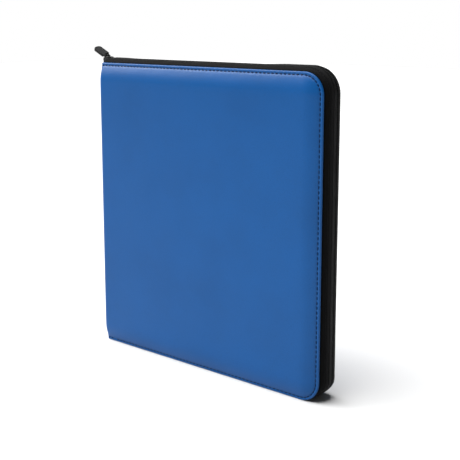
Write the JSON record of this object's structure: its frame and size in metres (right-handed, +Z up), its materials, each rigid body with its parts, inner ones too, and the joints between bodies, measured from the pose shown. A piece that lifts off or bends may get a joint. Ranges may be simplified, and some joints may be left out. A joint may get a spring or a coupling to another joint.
{
  "type": "zip-around card binder",
  "caption": "Slim padded binder with a zip-around gusset, bound pocket pages for cards and a short slanting zipper pull.",
  "frame": {"origin": "centre of the spine's bottom end face", "axes": "+X from the spine to the fore-edge, +Y from the front cover to the back cover, +Z up along the spine"},
  "size_m": [0.363, 0.038, 0.3797],
  "materials": {
    "blue_leatherette": "fine-grained satin leatherette",
    "greyboard": "unfinished pressed board",
    "padding_foam": "soft open foam",
    "lining_cloth": "fine woven cloth",
    "binding_tape": "stitched tape",
    "gusset_fabric": "tight plain weave",
    "zipper_tape": "woven tape",
    "zipper_nylon": "nylon coil",
    "slider_metal": "black enamelled die casting",
    "pull_rubber": "matt moulded",
    "page_plastic": "clear film pockets on a black sheet"
  },
  "bodies": {
    "spine": {"spine_leather": "blue_leatherette", "spine_board": "greyboard", "spine_lining": "lining_cloth", "page_binding": "binding_tape", "zipper_end_top": "zipper_tape", "zipper_end_bottom": "zipper_tape"},
    "front_cover": {"front_cover_leather": "blue_leatherette", "front_cover_foam": "padding_foam", "front_cover_board": "greyboard", "front_cover_lining": "lining_cloth", "front_gusset": "gusset_fabric", "front_zip_tape": "zipper_tape", "front_zip_coil": "zipper_nylon"},
    "back_cover": {"back_cover_leather": "blue_leatherette", "back_cover_foam": "padding_foam", "back_cover_board": "greyboard", "back_cover_lining": "lining_cloth", "back_gusset": "gusset_fabric", "back_zip_tape": "zipper_tape", "back_zip_coil": "zipper_nylon"},
    "slider": {"slider_body": "slider_metal"},
    "pull": {"pull_link": "slider_metal", "pull_strap": "pull_rubber"},
    "page_01": {"page_01": "page_plastic"},
    "page_02": {"page_02": "page_plastic"},
    "page_03": {"page_03": "page_plastic"},
    "page_04": {"page_04": "page_plastic"},
    "page_05": {"page_05": "page_plastic"},
    "page_06": {"page_06": "page_plastic"},
    "page_07": {"page_07": "page_plastic"},
    "page_08": {"page_08": "page_plastic"},
    "page_09": {"page_09": "page_plastic"},
    "page_10": {"page_10": "page_plastic"},
    "page_11": {"page_11": "page_plastic"},
    "page_12": {"page_12": "page_plastic"},
    "page_13": {"page_13": "page_plastic"},
    "page_14": {"page_14": "page_plastic"},
    "page_15": {"page_15": "page_plastic"},
    "page_16": {"page_16": "page_plastic"},
    "page_17": {"page_17": "page_plastic"},
    "page_18": {"page_18": "page_plastic"},
    "page_19": {"page_19": "page_plastic"},
    "page_20": {"page_20": "page_plastic"}
  },
  "joints": [
    {"name": "front_cover_hinge", "type": "hinge", "parent": "spine", "child": "front_cover", "pos_m": [-0.00175, -0.019, 0], "axis": [0, 0, -1], "range_deg": [0, 90]},
    {"name": "back_cover_hinge", "type": "hinge", "parent": "spine", "child": "back_cover", "pos_m": [-0.00175, 0.019, 0], "axis": [0, 0, 1], "range_deg": [0, 90]},
    {"name": "page_01_fold", "type": "hinge", "parent": "spine", "child": "page_01", "pos_m": [0.00665, -0.01093, 0], "axis": [0, 0, -1], "range_deg": [0, 90]},
    {"name": "page_02_fold", "type": "hinge", "parent": "spine", "child": "page_02", "pos_m": [0.00719, -0.00978, 0], "axis": [0, 0, -1], "range_deg": [0, 90]},
    {"name": "page_03_fold", "type": "hinge", "parent": "spine", "child": "page_03", "pos_m": [0.00767, -0.00863, 0], "axis": [0, 0, -1], "range_deg": [0, 90]},
    {"name": "page_04_fold", "type": "hinge", "parent": "spine", "child": "page_04", "pos_m": [0.0081, -0.00747, 0], "axis": [0, 0, -1], "range_deg": [0, 90]},
    {"name": "page_05_fold", "type": "hinge", "parent": "spine", "child": "page_05", "pos_m": [0.00848, -0.00632, 0], "axis": [0, 0, -1], "range_deg": [0, 90]},
    {"name": "page_06_fold", "type": "hinge", "parent": "spine", "child": "page_06", "pos_m": [0.00881, -0.00517, 0], "axis": [0, 0, -1], "range_deg": [0, 90]},
    {"name": "page_07_fold", "type": "hinge", "parent": "spine", "child": "page_07", "pos_m": [0.0091, -0.00402, 0], "axis": [0, 0, -1], "range_deg": [0, 90]},
    {"name": "page_08_fold", "type": "hinge", "parent": "spine", "child": "page_08", "pos_m": [0.00934, -0.00287, 0], "axis": [0, 0, -1], "range_deg": [0, 90]},
    {"name": "page_09_fold", "type": "hinge", "parent": "spine", "child": "page_09", "pos_m": [0.00955, -0.00172, 0], "axis": [0, 0, -1], "range_deg": [0, 90]},
    {"name": "page_10_fold", "type": "hinge", "parent": "spine", "child": "page_10", "pos_m": [0.00972, -0.00057, 0], "axis": [0, 0, -1], "range_deg": [0, 90]},
    {"name": "page_11_fold", "type": "hinge", "parent": "spine", "child": "page_11", "pos_m": [0.00987, 0.00057, 0], "axis": [0, 0, -1], "range_deg": [0, 90]},
    {"name": "page_12_fold", "type": "hinge", "parent": "spine", "child": "page_12", "pos_m": [0.00998, 0.00172, 0], "axis": [0, 0, -1], "range_deg": [0, 90]},
    {"name": "page_13_fold", "type": "hinge", "parent": "spine", "child": "page_13", "pos_m": [0.01007, 0.00287, 0], "axis": [0, 0, -1], "range_deg": [0, 90]},
    {"name": "page_14_fold", "type": "hinge", "parent": "spine", "child": "page_14", "pos_m": [0.01014, 0.00402, 0], "axis": [0, 0, -1], "range_deg": [0, 90]},
    {"name": "page_15_fold", "type": "hinge", "parent": "spine", "child": "page_15", "pos_m": [0.01018, 0.00517, 0], "axis": [0, 0, -1], "range_deg": [0, 90]},
    {"name": "page_16_fold", "type": "hinge", "parent": "spine", "child": "page_16", "pos_m": [0.01022, 0.00632, 0], "axis": [0, 0, -1], "range_deg": [0, 90]},
    {"name": "page_17_fold", "type": "hinge", "parent": "spine", "child": "page_17", "pos_m": [0.01024, 0.00747, 0], "axis": [0, 0, -1], "range_deg": [0, 90]},
    {"name": "page_18_fold", "type": "hinge", "parent": "spine", "child": "page_18", "pos_m": [0.01025, 0.00863, 0], "axis": [0, 0, -1], "range_deg": [0, 90]},
    {"name": "page_19_fold", "type": "hinge", "parent": "spine", "child": "page_19", "pos_m": [0.01025, 0.00978, 0], "axis": [0, 0, -1], "range_deg": [0, 90]},
    {"name": "page_20_fold", "type": "hinge", "parent": "spine", "child": "page_20", "pos_m": [0.01025, 0.01093, 0], "axis": [0, 0, -1], "range_deg": [0, 90]},
    {"name": "slider_run", "type": "slide", "parent": "back_cover", "child": "slider", "axis": [1, 0, 0], "range_m": [0, 0.29]},
    {"name": "pull_hinge", "type": "hinge", "parent": "slider", "child": "pull", "pos_m": [-0.00825, 0, 0.3676], "axis": [0, 1, 0], "range_deg": [-14, 126]}
  ],
  "couplings": [
    {"joint": "page_01_fold", "follows": "front_cover_hinge", "ratio": 0.93},
    {"joint": "page_02_fold", "follows": "front_cover_hinge", "ratio": 0.8847},
    {"joint": "page_03_fold", "follows": "front_cover_hinge", "ratio": 0.8395},
    {"joint": "page_04_fold", "follows": "front_cover_hinge", "ratio": 0.7942},
    {"joint": "page_05_fold", "follows": "front_cover_hinge", "ratio": 0.7489},
    {"joint": "page_06_fold", "follows": "front_cover_hinge", "ratio": 0.7037},
    {"joint": "page_07_fold", "follows": "front_cover_hinge", "ratio": 0.6584},
    {"joint": "page_08_fold", "follows": "front_cover_hinge", "ratio": 0.6132},
    {"joint": "page_09_fold", "follows": "front_cover_hinge", "ratio": 0.5679},
    {"joint": "page_10_fold", "follows": "front_cover_hinge", "ratio": 0.5226},
    {"joint": "page_11_fold", "follows": "front_cover_hinge", "ratio": 0.4774},
    {"joint": "page_12_fold", "follows": "front_cover_hinge", "ratio": 0.4321},
    {"joint": "page_13_fold", "follows": "front_cover_hinge", "ratio": 0.3868},
    {"joint": "page_14_fold", "follows": "front_cover_hinge", "ratio": 0.3416},
    {"joint": "page_15_fold", "follows": "front_cover_hinge", "ratio": 0.2963},
    {"joint": "page_16_fold", "follows": "front_cover_hinge", "ratio": 0.2511},
    {"joint": "page_17_fold", "follows": "front_cover_hinge", "ratio": 0.2058},
    {"joint": "page_18_fold", "follows": "front_cover_hinge", "ratio": 0.1605},
    {"joint": "page_19_fold", "follows": "front_cover_hinge", "ratio": 0.1153},
    {"joint": "page_20_fold", "follows": "front_cover_hinge", "ratio": 0.07}
  ]
}
